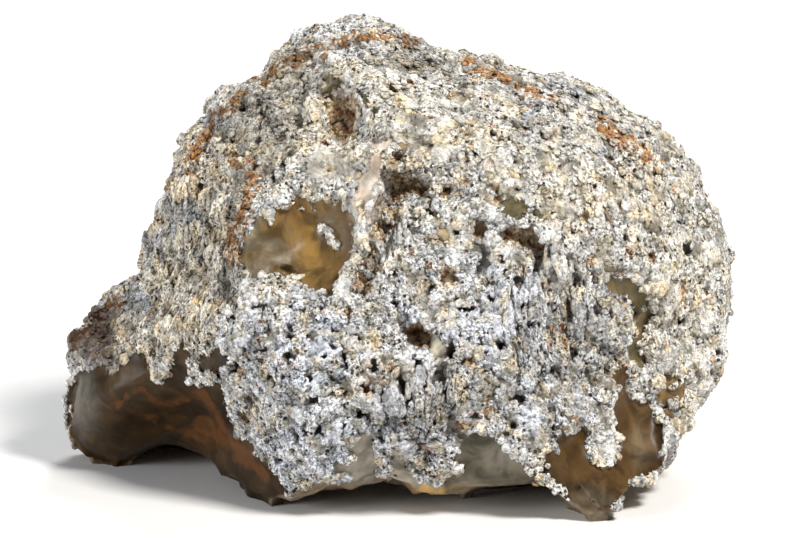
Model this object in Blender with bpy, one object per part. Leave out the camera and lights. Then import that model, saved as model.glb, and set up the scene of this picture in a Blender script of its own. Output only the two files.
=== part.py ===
# A rough agate nodule, lying as found: one natural stone with a knobbly pale rind and broken faces of
# translucent chalcedony. It is shaped in the plane of its front view, x to the right, z up and depth
# towards the viewer, and then laid down on its broken underside. Values are in millimetres until the end.

import math

import bmesh
import bpy
import numpy as np
from mathutils import Vector, noise

# Driving dimensions
WIDTH = 70.0  # across the front view, left lobe to right side
VIEW_TILT = 12.0  # degrees that the front view looks down from the horizontal
VIEW_DISTANCE = 583.0  # from the eye to the stone's middle, so that near parts look larger
BASE_DROP = 21.2  # height of the front view's centre over the resting plane
RIND = 0.45  # thickness of the pale rind where it has broken away
LUMPS = [(9.0, 0.5), (4.0, 0.3)]  # low lumps all over: size and height
KNOBS = [(3.0, 0.95), (1.9, 0.45)]  # rounded knobs of the rind: size and height
KNOB_SINK = 0.75  # how far the rind's knobs are let into the stone
RIND_WOBBLE = (2.2, 0.5)  # size and reach of the waves along the rind's broken edge
TRIANGLES = 9300
SUBDIVISIONS = 7  # of the icosphere that the stone is shaped from
SEED = Vector((31.0, 7.5, 12.2))
MM = 0.001

# The stone's edge as seen from the front, (x, z) about the centre of the view
OUTLINE = [
    (35.0, 0.5), (32.8, 6.8), (30.0, 12.5), (25.7, 15.8), (19.9, 19.4), (13.7, 21.0),
    (8.4, 22.5), (6.3, 22.4), (4.2, 23.3), (-1.1, 25.5), (-4.6, 26.4), (-7.9, 25.5),
    (-10.0, 25.1), (-13.4, 22.2), (-14.9, 20.3), (-18.7, 18.6), (-21.1, 15.3), (-22.7, 13.7),
    (-24.5, 8.8), (-26.7, 2.3), (-26.7, -0.9), (-29.7, -1.5), (-31.7, -3.8), (-34.5, -6.8),
    (-34.5, -10.7), (-35.2, -14.4), (-34.2, -18.5), (-29.6, -21.1), (-25.6, -19.1), (-21.8, -19.9),
    (-17.3, -22.8), (-13.9, -24.7), (-9.4, -23.6), (-4.4, -23.1), (-2.7, -22.4), (3.1, -23.6),
    (8.7, -23.6), (13.7, -23.1), (15.0, -22.1), (16.1, -24.0), (19.6, -26.5), (21.8, -25.7),
    (24.9, -22.8), (26.9, -22.1), (28.9, -19.1), (31.4, -14.7), (33.8, -10.7), (34.2, -7.3),
]

# Depth of that edge at angles round the view, anticlockwise from the right: it comes forward at the
# bottom, where the edge is the front of the underside
RIM_ANGLES = [0, 60, 120, 180, 200, 215, 222, 232, 241, 255, 270, 300, 310, 322, 340, 360]
RIM_DEPTHS = [0, -1, -1, -2, -4, -5, -1, 7, 13, 15, 15, 16, 20, 12, 3, 0]

# Depth of the front at its ridges, hollows and faces, (x, z, depth)
FRONT = {
    "crest top": (-5.2, 21.0, 9.0),
    "crest upper": (-2.9, 16.8, 15.0),
    "crest middle": (-2.3, 11.0, 19.5),
    "crest lower": (-3.1, 5.2, 21.5),
    "crest foot": (-5.5, -4.0, 22.5),
    "left ridge top": (-7.8, 19.4, 9.5),
    "left ridge upper": (-11.0, 12.5, 15.5),
    "left ridge middle": (-15.2, 4.7, 18.0),
    "left ridge lower": (-18.0, -3.1, 17.5),
    "left ridge foot": (-19.4, -10.5, 15.0),
    "trough": (-9.5, 3.7, 16.8),
    "trough top": (-6.5, 15.0, 13.2),
    "left face upper": (-18.0, 14.0, 8.0),
    "left face middle": (-22.0, 6.0, 7.0),
    "left face lower": (-23.5, -2.0, 8.0),
    "left face foot": (-27.0, -6.5, 5.0),
    "lobe top": (-31.0, -4.5, -3.0),
    "lobe front": (-32.0, -12.0, 1.0),
    "lobe bottom": (-31.0, -18.0, -1.0),
    "left break top": (-26.0, -11.0, 7.0),
    "left break hollow": (-23.0, -16.0, 3.0),
    "left break right": (-18.0, -19.0, 9.0),
    "left break tip": (-13.5, -23.0, 14.0),
    "belly left": (-12.0, -10.0, 22.5),
    "belly middle": (-4.0, -15.0, 24.0),
    "belly right": (5.0, -15.0, 24.5),
    "belly foot left": (-9.0, -21.5, 19.0),
    "belly foot right": (2.0, -22.0, 18.5),
    "furrow upper": (0.5, 8.0, 18.8),
    "furrow lower": (1.5, -3.0, 21.0),
    "dome top": (14.0, 19.0, 9.0),
    "dome upper": (10.0, 14.0, 17.5),
    "dome middle": (16.8, 7.3, 19.5),
    "dome side": (25.0, 2.0, 14.5),
    "dome edge": (31.0, -3.0, 8.0),
    "right foot": (13.0, -12.0, 21.5),
    "right break top": (22.5, -12.0, 15.0),
    "right break foot": (20.5, -21.0, 19.0),
    "right rim": (29.0, -14.0, 8.0),
}

# Depth of the back, away from the viewer, at its lumps and hollows
BACK = {
    "middle": (0.0, 2.0, 24.0),
    "right shoulder": (16.0, 8.0, 20.0),
    "right saddle": (10.0, -4.0, 20.5),
    "right side": (27.0, -3.0, 13.0),
    "top": (-3.0, 19.0, 14.0),
    "left shoulder": (-16.0, 8.0, 18.0),
    "left hollow": (-19.0, -3.0, 14.0),
    "lobe": (-30.0, -11.0, 12.0),
    "lower middle": (-4.0, -15.0, 23.0),
    "lower right": (20.0, -15.0, 19.0),
}

# Sharp ridges on the front: the line along the top, the height, the half width
RIDGES = {
    "centre crest": (
        [(-5.5, 22.5), (-3.0, 17.5), (-2.0, 13.0), (-2.8, 6.0), (-4.4, 0.0), (-5.6, -5.5)], 1.9, 1.4,
    ),
    "left ridge": ([(-8.0, 21.0), (-11.2, 12.0), (-15.4, 5.0), (-18.0, -3.0), (-19.3, -9.5)], 1.8, 1.8),
    "lobe edge": ([(-26.4, -1.5), (-29.5, -6.0), (-33.6, -10.0)], 1.8, 1.3),
    "right rim": ([(26.5, 1.5), (27.8, -5.0), (28.4, -12.0), (28.2, -18.5), (25.4, -22.0)], 0.9, 1.2),
    "upper shelf": ([(8.5, 3.0), (11.0, 5.0), (15.0, 4.2), (16.5, 1.5)], 0.7, 0.9),
}

# Furrows down the front: the line, the depth, the half width
FURROWS = {
    "main furrow": ([(-0.6, 8.5), (-1.4, 5.4), (-1.7, 2.6), (-3.0, 0.0), (-4.0, -2.4)], 2.2, 0.9),
    "crest nick": ([(-5.5, -3.8), (-5.5, -5.8)], 1.1, 0.5),
    "upper furrow": ([(-2.3, 13.6), (0.6, 13.9), (2.4, 12.4)], 1.0, 0.8),
    "right furrow": ([(8.4, 2.6), (8.6, -0.5), (8.2, -3.2)], 0.9, 0.7),
    "slanting furrow": ([(22.5, -1.0), (25.6, -4.0), (25.2, -9.0)], 1.1, 0.9),
    "belly furrow": ([(4.5, -9.5), (4.2, -13.0), (6.0, -16.5)], 0.8, 1.0),
    "left face furrow": ([(-16.0, 16.5), (-19.0, 10.0), (-21.0, 3.5)], 0.9, 1.3),
    "left foot furrow": ([(-24.0, -3.0), (-22.2, -7.0), (-21.6, -11.0)], 0.9, 0.8),
}

# The fluted part of the front, (x, z, half width, half height) and the flutes' width, length and depth
FLUTED = (12.0, -5.0, 13.0, 10.0)
FLUTE_WIDTH, FLUTE_LENGTH, FLUTE_DEPTH = 2.6, 11.0, 0.9

# Pits in the front, (x, z, half width, half height, depth)
PITS = {
    "rusty vug": (-6.1, 15.8, 1.9, 3.2, 1.8),
    "round hole": (-0.2, 11.9, 0.9, 0.8, 1.6),
    "square vug": (1.1, 8.9, 1.9, 1.5, 1.7),
    "small hole": (4.9, 8.4, 0.9, 0.8, 1.3),
    "slot": (10.2, 7.6, 0.8, 1.2, 1.2),
    "dark hole": (8.3, 4.3, 1.1, 0.8, 1.4),
    "arched vug": (12.9, 3.3, 2.1, 1.2, 1.5),
    "belly hole": (1.9, -6.8, 1.2, 1.2, 2.3),
    "amber arch": (-12.0, -0.4, 1.3, 0.8, 1.3),
    "middle pit": (5.2, -0.6, 1.1, 1.0, 1.1),
    "rind knob pit": (-17.6, -16.5, 1.0, 0.9, 1.1),
    "olive window": (12.2, 6.2, 1.3, 1.0, 0.6),
    "right pit": (19.4, 5.6, 0.6, 0.8, 0.9),
    "far right pit": (26.4, 1.4, 0.7, 0.8, 0.9),
    "right low pit": (16.0, -7.8, 0.7, 1.4, 0.9),
    "grey pit": (-3.3, -12.9, 0.7, 0.6, 0.8),
    "bottom pit": (2.0, -18.8, 0.7, 0.5, 0.8),
}

# Faces where the rind has broken away, outlines on the front
FRONT_BREAKS = {
    "left break": [
        (-35.5, -11.5), (-32.0, -10.6), (-29.0, -10.4), (-26.2, -9.0), (-23.5, -10.8), (-19.4, -11.6),
        (-17.0, -14.0), (-17.4, -17.0), (-14.6, -21.0), (-12.0, -25.0), (-20.0, -26.0), (-37.0, -22.0),
    ],
    "right break": [
        (23.2, -9.8), (25.7, -13.4), (27.2, -15.7), (27.2, -21.2), (24.0, -22.6), (22.2, -24.2),
        (21.5, -27.0), (16.0, -26.0), (14.9, -20.8), (16.5, -18.6), (20.0, -17.6), (22.5, -17.3),
    ],
    "bottom right break": [
        (7.0, -17.4), (8.6, -16.6), (10.6, -18.0), (11.6, -20.3), (14.6, -21.6), (12.0, -24.0),
        (5.0, -24.0), (6.0, -21.0),
    ],
    "bottom left break": [
        (-4.0, -18.4), (-5.2, -19.8), (-6.0, -21.8), (-6.3, -24.0), (-1.0, -24.0), (0.0, -21.8),
        (-2.4, -20.2), (-3.0, -18.9),
    ],
    "amber window": [
        (-16.2, 4.3), (-13.4, 6.1), (-11.1, 7.2), (-6.3, 7.5), (-5.1, 6.1), (-5.3, 2.1),
        (-6.2, -1.0), (-9.9, -1.8), (-14.5, -1.1), (-16.8, 1.0),
    ],
}

# Faces where the rind has broken away, outlines on the back, seen through from the front
BACK_BREAKS = {
    "back left break": [
        (-14.0, -9.0), (-24.0, -6.0), (-31.0, -10.0), (-33.0, -16.0), (-22.0, -22.0), (-13.0, -18.0),
    ],
    "back right break": [(10.0, -12.0), (17.0, -9.0), (24.0, -13.0), (25.0, -24.0), (9.0, -24.0)],
    "back top chip": [(2.0, 12.0), (8.0, 15.5), (12.0, 11.0), (6.0, 7.5)],
}

# Shallow hollows in the underside, about the centre of the base: (x, y, half width, half length, depth)
BASE_HOLLOWS = {
    "front hollow": (-4.0, -13.0, 12.0, 5.0, 1.3),
    "left hollow": (-19.0, -3.0, 8.0, 7.0, 1.6),
    "right hollow": (19.0, 2.0, 6.0, 8.0, 1.1),
}


def smooth_step(low, high, value):
    t = np.clip((value - low) / (high - low), 0.0, 1.0)
    return t * t * (3.0 - 2.0 * t)


def spline_through(points, steps=8):
    # Catmull-Rom curve through a closed ring of points
    ring = np.array(points, float)
    before, after, later = np.roll(ring, 1, 0), np.roll(ring, -1, 0), np.roll(ring, -2, 0)
    curve = []
    for t in np.arange(steps) / steps:
        curve.append(
            0.5 * (2 * ring + (after - before) * t + (2 * before - 5 * ring + 4 * after - later) * t**2
                   + (3 * ring - before - 3 * after + later) * t**3)
        )
    return np.stack(curve, 1).reshape(-1, 2)


def polar_outline():
    curve = spline_through(OUTLINE)
    curve *= WIDTH / np.ptp(curve[:, 0])
    angle = np.degrees(np.arctan2(curve[:, 1], curve[:, 0])) % 360
    order = np.argsort(angle)
    return angle[order], np.hypot(curve[:, 0], curve[:, 1])[order]


def outline_radii(angle):
    # The edge's distance from the centre, as it is and with its small bumps evened out
    known, radius = polar_outline()
    every_degree = np.interp(np.arange(360), known, radius, period=360)
    spread = np.exp(-0.5 * (np.arange(-40, 41) / 12.0) ** 2)
    padded = np.concatenate([every_degree[-40:], every_degree, every_degree[:40]])
    even = np.convolve(padded, spread / spread.sum(), "valid")
    return np.interp(angle, known, radius, period=360), np.interp(angle, np.arange(360), even, period=360)


def depth_field(landmarks, share):
    # A smooth surface through the landmarks: share says how much of the depth stands at each of them
    spots = np.array([mark[:2] for mark in landmarks.values()])
    wanted = share(spots, np.array([mark[2] for mark in landmarks.values()]))
    softness = 3.0
    gaps = np.sqrt(((spots[:, None] - spots[None]) ** 2).sum(2) + softness**2)
    level = wanted.mean()
    weights = np.linalg.solve(gaps, wanted - level)

    def field(points):
        reach = np.sqrt(((points[:, None] - spots[None]) ** 2).sum(2) + softness**2)
        return level + reach @ weights

    return field


def crown(fraction):
    # How far the surface stands out at this fraction of the way from the centre to the edge
    return np.clip(1.0 - fraction**2.4, 0.0, 1.0) ** 0.45


def rim_depth(angle):
    return np.interp(angle, RIM_ANGLES, RIM_DEPTHS)


def distance_to_line(points, line):
    line = np.array(line, float)
    nearest = np.full(len(points), 1e9)
    for start, end in zip(line[:-1], line[1:]):
        along = end - start
        t = np.clip(((points - start) @ along) / (along @ along), 0.0, 1.0)
        nearest = np.minimum(nearest, np.hypot(*(points - start - t[:, None] * along).T))
    return nearest


def depth_inside(points, polygon):
    # Distance to the polygon's edge, positive inside it and negative outside
    ring = np.array(polygon, float)
    inside = np.zeros(len(points), bool)
    for (x0, z0), (x1, z1) in zip(ring, np.roll(ring, -1, 0)):
        crosses = (z0 > points[:, 1]) != (z1 > points[:, 1])
        where = (x1 - x0) * (points[:, 1] - z0) / (z1 - z0 + 1e-12) + x0
        inside ^= crosses & (points[:, 0] < where)
    distance = distance_to_line(points, np.vstack([ring, ring[:1]]))
    return np.where(inside, distance, -distance)


def turbulence(points, size, octaves=3):
    return np.array([noise.fractal(Vector(p) + SEED, 1.0, 2.0, octaves) for p in points / size])


def knobs(points, size):
    # Rounded knobs: 1 on top of each, 0 in the gaps between them
    nearest = np.array([noise.voronoi(Vector(p) + SEED)[0][0] for p in points / size])
    return np.clip(1.0 - (nearest / 0.72) ** 2, 0.0, 1.0)


def shape_in_view(directions):
    # From the icosphere's directions to (x, z, depth), with the share of rind at each point
    x, y, z = directions.T
    angle = np.degrees(np.arctan2(z, x)) % 360
    reach = np.hypot(x, z)
    front = y < 0
    fraction = np.where(front, reach**0.9, reach**0.62)
    edge, even_edge = outline_radii(angle)
    bumps = np.where(front, smooth_step(0.55, 0.98, fraction), smooth_step(0.86, 1.0, reach))
    radius = fraction * (even_edge + (edge - even_edge) * bumps)
    plane = np.column_stack([radius * np.cos(np.radians(angle)), radius * np.sin(np.radians(angle))])
    rim = rim_depth(angle) * fraction**2

    def share(side):
        def of_landmarks(spots, depths):
            turn = np.degrees(np.arctan2(spots[:, 1], spots[:, 0])) % 360
            out = np.hypot(*spots.T) / outline_radii(turn)[1]
            out = np.minimum(out, 0.97)
            return (side * depths - rim_depth(turn) * out**2) * side / crown(out)

        return of_landmarks

    front_depth = rim + crown(fraction) * depth_field(FRONT, share(1))(plane)
    back_depth = rim - crown(fraction) * depth_field(BACK, share(-1))(plane)
    depth = np.where(front, front_depth, back_depth)
    return plane, depth, front


def add_front_relief(plane, depth, front):
    relief = np.zeros(len(plane))
    for line, height, half_width in RIDGES.values():
        relief += height * np.exp(-distance_to_line(plane, line) / half_width)
    for line, drop, half_width in FURROWS.values():
        relief -= drop * np.exp(-((distance_to_line(plane, line) / half_width) ** 2))
    for x, z, half_width, half_height, drop in PITS.values():
        away = np.hypot((plane[:, 0] - x) / half_width, (plane[:, 1] - z) / half_height)
        relief -= drop * (1.0 - smooth_step(0.6, 1.35, away))
    x, z, half_width, half_height = FLUTED
    away = np.hypot((plane[:, 0] - x) / half_width, (plane[:, 1] - z) / half_height)
    across, along = plane[:, 0] / FLUTE_WIDTH, plane[:, 1] / FLUTE_LENGTH
    stretched = np.column_stack([across, along, np.zeros(len(plane))])
    relief += FLUTE_DEPTH * turbulence(stretched, 1.0, octaves=2) * (1.0 - smooth_step(0.6, 1.1, away))
    return depth + np.where(front, relief, 0.0)


def broken_share(plane, front):
    # 1 on a broken face, 0 on the rind
    size, reach = RIND_WOBBLE
    wobble = reach * turbulence(np.column_stack([plane, np.zeros(len(plane))]), size)
    share = np.zeros(len(plane))
    for breaks, side in ((FRONT_BREAKS, front), (BACK_BREAKS, ~front)):
        for polygon in breaks.values():
            inside = smooth_step(-0.25, 0.25, depth_inside(plane, polygon) + wobble)
            share = np.where(side, np.maximum(share, inside), share)
    return share


def lay_down(plane, depth):
    # From the view's plane to the stone as it lies
    tilt = math.radians(VIEW_TILT)
    x, z = plane.T * (1.0 - depth / VIEW_DISTANCE)
    return np.column_stack([
        x,
        z * math.sin(tilt) - depth * math.cos(tilt),
        z * math.cos(tilt) + depth * math.sin(tilt) + BASE_DROP,
    ])


def underside(points):
    # Lowest height allowed: under the resting plane where the stone bears, over it in the hollows
    floor = np.full(len(points), -0.4)
    for x, y, half_width, half_length, depth in BASE_HOLLOWS.values():
        away = np.hypot((points[:, 0] - x) / half_width, (points[:, 1] - y) / half_length)
        floor = np.maximum(floor, depth * (1.0 - away**2))
    return floor


def move_along_normals(mesh, points, amount):
    mesh.vertices.foreach_set("co", points.astype(np.float32).ravel())
    mesh.update()
    normals = np.empty(len(points) * 3, np.float32)
    mesh.vertices.foreach_get("normal", normals)
    return points + normals.reshape(-1, 3) * amount[:, None]


def sculpt(mesh):
    directions = np.array([v.co for v in mesh.vertices], float)
    directions /= np.linalg.norm(directions, axis=1)[:, None]
    plane, depth, front = shape_in_view(directions)
    broken = broken_share(plane, front)
    points = lay_down(plane, add_front_relief(plane, depth, front))
    rind = 1.0 - broken
    lumps = sum(height * turbulence(points, size) for size, height in LUMPS)
    crust = sum(height * knobs(points, size) for size, height in KNOBS) - KNOB_SINK
    amount = lumps * (0.3 + 0.7 * rind) + crust * rind - RIND * broken
    points = move_along_normals(mesh, points, amount)
    points[:, 2] = np.maximum(points[:, 2], underside(points))
    mesh.vertices.foreach_set("co", (points * MM).astype(np.float32).ravel())
    mesh.update()


def stone_material():
    material = bpy.data.materials.new("agate rind")
    material.use_nodes = True
    shader = material.node_tree.nodes["Principled BSDF"]
    shader.inputs["Base Color"].default_value = (0.55, 0.51, 0.45, 1.0)
    shader.inputs["Roughness"].default_value = 0.75
    shader.inputs["Metallic"].default_value = 0.0
    return material


def make_ground_cutter(collection):
    # Everything below the resting plane, so that the stone bears on flat worn patches
    half, thick = 60 * MM, 20 * MM
    mesh = bpy.data.meshes.new("ground_cutter")
    shape = bmesh.new()
    bmesh.ops.create_cube(shape, size=1.0)
    bmesh.ops.scale(shape, vec=(2 * half, 2 * half, thick), verts=shape.verts)
    bmesh.ops.translate(shape, vec=(0.0, 0.0, -thick / 2), verts=shape.verts)
    shape.to_mesh(mesh)
    shape.free()
    cutter = bpy.data.objects.new("ground_cutter", mesh)
    collection.objects.link(cutter)
    cutter.hide_render = True
    cutter.display_type = "WIRE"
    return cutter


def make_stone(collection, cutter):
    mesh = bpy.data.meshes.new("agate_nodule")
    shape = bmesh.new()
    bmesh.ops.create_icosphere(shape, subdivisions=SUBDIVISIONS, radius=1.0)
    shape.to_mesh(mesh)
    shape.free()
    sculpt(mesh)
    mesh.shade_smooth()
    mesh.materials.append(stone_material())
    stone = bpy.data.objects.new("agate_nodule", mesh)
    collection.objects.link(stone)
    softer = stone.modifiers.new("worn edges", "SMOOTH")
    softer.factor = 0.5
    softer.iterations = 4
    coarser = stone.modifiers.new("fewer faces", "DECIMATE")
    coarser.ratio = TRIANGLES / len(mesh.polygons)
    bearing = stone.modifiers.new("resting plane", "BOOLEAN")
    bearing.operation = "DIFFERENCE"
    bearing.object = cutter
    return stone


def main():
    for old in list(bpy.data.objects):
        bpy.data.objects.remove(old)
    scene = bpy.context.scene
    parts = bpy.data.collections.new("fortification agate")
    cutters = bpy.data.collections.new("cutters")
    scene.collection.children.link(parts)
    scene.collection.children.link(cutters)
    make_stone(parts, make_ground_cutter(cutters))


main()
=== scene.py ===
# The looks of a rough agate nodule: a pale knobbly rind with pits, furrows and rust stains, and waxy
# chalcedony where the rind has broken away. Shapes are worked out in millimetres, places on the front are
# given in the photograph's own pixels, and the finished mesh stands in for the plain solid of the frame.
import math

import bmesh
import bpy
import numpy as np
from mathutils import Matrix, noise


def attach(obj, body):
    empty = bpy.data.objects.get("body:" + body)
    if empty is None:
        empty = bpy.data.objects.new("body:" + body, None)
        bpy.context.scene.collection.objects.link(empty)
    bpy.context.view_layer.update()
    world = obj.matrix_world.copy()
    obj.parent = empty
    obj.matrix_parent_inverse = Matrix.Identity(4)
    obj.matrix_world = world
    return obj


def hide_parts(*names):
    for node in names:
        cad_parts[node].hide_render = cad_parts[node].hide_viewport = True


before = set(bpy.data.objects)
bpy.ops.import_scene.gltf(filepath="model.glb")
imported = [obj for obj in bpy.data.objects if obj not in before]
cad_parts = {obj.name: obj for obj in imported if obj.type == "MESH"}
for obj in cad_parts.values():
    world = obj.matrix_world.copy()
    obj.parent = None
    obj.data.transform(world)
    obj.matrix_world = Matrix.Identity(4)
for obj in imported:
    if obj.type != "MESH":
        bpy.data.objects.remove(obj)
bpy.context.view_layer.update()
noise.seed_set(7)  # the same warping noise in each run
print("frame loaded")

photo = {
    "width": 800,
    "height": 533,
    "pixel": 0.105,  # millimetres that a pixel spans at the stone's middle
    "middle": (400, 270),  # the pixel that shows the stone's middle
    "tilt": 12.0,  # degrees that the photograph looks down
    "distance": 583.0,  # millimetres from the eye to the middle
    "middleHeight": 21.2,  # millimetres of the middle above the floor
}

nodule = {
    "voxel": 0.19,  # millimetres
    "smoothing": 4,
    "triangles": 197000,
    "frontKeep": 0.25,  # from 0, keeps its faces, to 1, loses them freely
    "brokenKeep": 0.5,
    "keepPull": 0.03,
    "centre": (0.0, -1.5, 21.0),
    "reach": (35.4, 25.6, 23.8),  # half its length, width and height
    "slot": "agate",
}

rind = {
    "thickness": 0.30,  # how far it stands above the broken faces, in millimetres as all below
    "swells": (3.6, 0.62),  # size and height
    "clumps": (1.7, 0.74),
    "knobs": (1.15, 0.26),
    "domes": (2.7, 0.80),
    "crumbs": (0.60, 0.16),
    "pits": (1.7, 0.80),
    "rims": 0.10,  # round the pits
    "highest": 0.42,
    "inset": 0.35,  # the whole skin goes in by this, so that it lies about the plain solid's face
}


def smoothStep(low, high, value):
    t = np.clip((value - low) / (high - low), 0.0, 1.0)
    return t * t * (3.0 - 2.0 * t)


def blend(first, second, share):
    return first + (second - first) * share


channelStep = 31.7  # each channel of noise is read this far from the last


def softNoise(points, size, octaves, channel):
    # Smooth noise around 0, mostly from -1 to 1
    places = (points / size + channelStep * channel).tolist()
    return np.array([noise.turbulence(p, octaves, False) for p in places])


def hardNoise(points, size, octaves, channel):
    # Rounded lumps with sharp creases between them, from 0 to about 1.2
    places = (points / size + channelStep * channel).tolist()
    return np.array([noise.turbulence(p, octaves, True) for p in places])


def warped(points, size, amount, channel):
    push = [noise.noise_vector(p) for p in (points / size + channelStep * channel).tolist()]
    return points + amount * np.array(push)


def scattered(points, size, channel):
    # Spots scattered through space: how far the nearest is, as a share of size, and its random number
    found = [noise.voronoi(p) for p in (points / size + channelStep * channel).tolist()]
    nearest = np.array([distances[0] for distances, places in found])
    owner = np.array([noise.cell(places[0] * 71.3) for distances, places in found])
    return nearest, owner * 0.5 + 0.5


def intoPhoto(points):
    # From millimetres on the lying stone to the photograph's pixels
    tilt = math.radians(photo["tilt"])
    up = points[:, 2] - photo["middleHeight"]
    depth = -points[:, 1] * math.cos(tilt) + up * math.sin(tilt)
    height = points[:, 1] * math.sin(tilt) + up * math.cos(tilt)
    near = photo["pixel"] * (1.0 - depth / photo["distance"])
    column = photo["middle"][0] + points[:, 0] / near
    row = photo["middle"][1] - height / near
    return np.column_stack([column, row])


def facing(normals):
    # 1 for what faces the photograph's eye, -1 for what faces away
    tilt = math.radians(photo["tilt"])
    return -normals[:, 1] * math.cos(tilt) + normals[:, 2] * math.sin(tilt)


def distanceToLine(spots, line):
    line = np.array(line, float)
    nearest = np.full(len(spots), 1e9)
    for start, end in zip(line[:-1], line[1:]):
        along = end - start
        t = np.clip(((spots - start) @ along) / (along @ along), 0.0, 1.0)
        nearest = np.minimum(nearest, np.hypot(*(spots - start - t[:, None] * along).T))
    return nearest


def depthInside(spots, outline):
    # Distance to the outline, positive inside it and negative outside
    ring = np.array(outline, float)
    inside = np.zeros(len(spots), bool)
    for (x0, y0), (x1, y1) in zip(ring, np.roll(ring, -1, 0)):
        crosses = (y0 > spots[:, 1]) != (y1 > spots[:, 1])
        where = (x1 - x0) * (spots[:, 1] - y0) / (y1 - y0 + 1e-12) + x0
        inside ^= crosses & (spots[:, 0] < where)
    distance = distanceToLine(spots, np.vstack([ring, ring[:1]]))
    return np.where(inside, distance, -distance)


def awayFrom(spots, column, row, halfWidth, halfHeight):
    # 0 in the middle of an oval in the photograph, 1 on its edge
    return np.hypot((spots[:, 0] - column) / halfWidth, (spots[:, 1] - row) / halfHeight)


def patches(spots, places):
    # Soft ovals, 1 in their middles and 0 from their edges out
    share = np.zeros(len(spots))
    for place in places:
        share = np.maximum(share, 1.0 - smoothStep(0.35, 1.0, awayFrom(spots, *place)))
    return share


def alongLines(spots, lines, halfWidth):
    # 1 on the lines, fading out beside them
    share = np.zeros(len(spots))
    for line in lines:
        share = np.maximum(share, np.exp(-((distanceToLine(spots, line) / halfWidth) ** 2)))
    return share


# Broken faces on the front, as outlines in the photograph, with the colour of the chalcedony in each
brokenFaces = {
    "left": {
        # Its own dark brown chalcedony, made darker still as painted shade for a face in shadow
        "colour": (0.030, 0.015, 0.004),
        "edge": (0.045, 0.026, 0.010),
        "outline": [
            (60, 380), (81, 371), (103, 364), (108, 379), (113, 372), (117, 361), (134, 353), (144, 358),
            (147, 371), (157, 387), (164, 377), (170, 371), (173, 350), (180, 340), (186, 350), (189, 382),
            (200, 388), (197, 360), (206, 353), (216, 349), (226, 363), (219, 382), (222, 398), (227, 413),
            (232, 435), (246, 442), (265, 463), (278, 476), (284, 490), (286, 520), (200, 520), (45, 485),
        ],
    },
    "right": {
        "colour": (0.064, 0.034, 0.011),
        "edge": (0.098, 0.059, 0.026),
        "outline": [
            (618, 369), (628, 367), (631, 378), (629, 391), (636, 398), (643, 404), (651, 396), (653, 409),
            (663, 424), (659, 446), (666, 457), (662, 470), (640, 486), (620, 500), (612, 525), (575, 525),
            (562, 492), (549, 477), (545, 453), (558, 449), (557, 437), (570, 432), (585, 434), (587, 446),
            (592, 457), (601, 465), (611, 467), (619, 457), (624, 446), (626, 437), (613, 427), (615, 403),
            (618, 389), (615, 379),
        ],
    },
    "bottomRight": {
        "colour": (0.105, 0.090, 0.062),
        "ragged": 1.1,
        "outline": [
            (467, 434), (477, 421), (482, 429), (496, 438), (506, 449), (514, 459), (522, 469), (540, 473),
            (538, 500), (499, 500), (474, 496), (444, 492), (443, 478), (459, 471), (454, 459), (459, 446),
        ],
    },
    "bottomLeft": {
        "colour": (0.28, 0.25, 0.20),
        "ragged": 1.1,
        "outline": [
            (363, 439), (370, 444), (376, 452), (380, 462), (373, 472), (393, 478), (399, 466), (391, 458),
            (395, 456), (407, 472), (418, 484), (414, 500), (393, 500), (373, 498), (341, 500), (338, 489),
            (350, 476), (336, 471), (335, 461), (348, 461), (356, 446),
        ],
    },
    "amberSliver": {
        "colour": (0.42, 0.27, 0.09),
        "outline": [(413, 487), (456, 487), (455, 505), (414, 505)],
    },
    "amberWindow": {
        "colour": (0.145, 0.088, 0.030),
        "edge": (0.130, 0.102, 0.060),
        "ragged": 1.3,
        "outline": [
            (246, 229), (272, 212), (294, 201), (307, 204), (316, 210), (324, 203), (340, 197), (352, 211),
            (357, 228), (353, 245), (347, 262), (344, 280), (327, 292), (306, 288), (293, 276), (262, 281),
            (245, 275), (239, 255),
        ],
    },
    "crescent": {
        "colour": (0.12, 0.10, 0.055),
        "ragged": 0.8,
        "outline": [
            (324, 79), (340, 78), (359, 86), (367, 98), (374, 112), (378, 122), (372, 126), (368, 112),
            (360, 98), (352, 89), (342, 87), (333, 95), (326, 91),
        ],
    },
    "crest": {
        "colour": (0.58, 0.50, 0.42),
        "edge": (0.48, 0.38, 0.29),
        "ragged": 0.9,
        "outline": [
            (364, 170), (371, 156), (378, 140), (391, 136), (417, 145), (391, 147), (381, 163), (377, 180),
            (370, 203), (359, 209), (354, 192),
        ],
    },
    "oliveWindow": {
        "colour": (0.10, 0.083, 0.042),
        "outline": [(502, 200), (515, 198), (529, 207), (524, 218), (505, 217)],
    },
    "smallOliveWindow": {
        "colour": (0.13, 0.11, 0.075),
        "outline": [(530, 205), (539, 208), (547, 220), (534, 217)],
    },
    "greyWindow": {
        "colour": (0.13, 0.125, 0.11),
        "outline": [(478, 242), (489, 246), (487, 265), (481, 272)],
    },
    "smallGreyWindow": {"colour": (0.085, 0.078, 0.072), "outline": [(408, 224), (422, 228), (412, 236)]},
    "paleWindow": {
        "colour": (0.36, 0.33, 0.25),
        "outline": [(428, 331), (440, 337), (446, 350), (436, 357), (427, 345)],
    },
    "oliveStreak": {
        "colour": (0.13, 0.10, 0.048),
        "ragged": 0.9,
        "outline": [
            (606, 282), (629, 277), (643, 289), (652, 301), (649, 318), (648, 331), (643, 345), (643, 362),
            (634, 363), (633, 350), (639, 337), (640, 322), (636, 306), (626, 296), (610, 289),
        ],
    },
    "amberPatch": {
        "colour": (0.16, 0.10, 0.040),
        "outline": [
            (663, 372), (674, 376), (674, 387), (686, 385), (683, 397), (664, 404), (657, 398),
            (663, 387),
        ],
    },
    "lowAmberPatch": {
        "colour": (0.15, 0.095, 0.045),
        "outline": [(667, 408), (684, 408), (679, 417), (669, 416)],
    },
    "tanPatch": {
        "colour": (0.24, 0.19, 0.11),
        "outline": [(425, 190), (433, 205), (450, 235), (444, 243), (436, 225)],
    },
}

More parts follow.
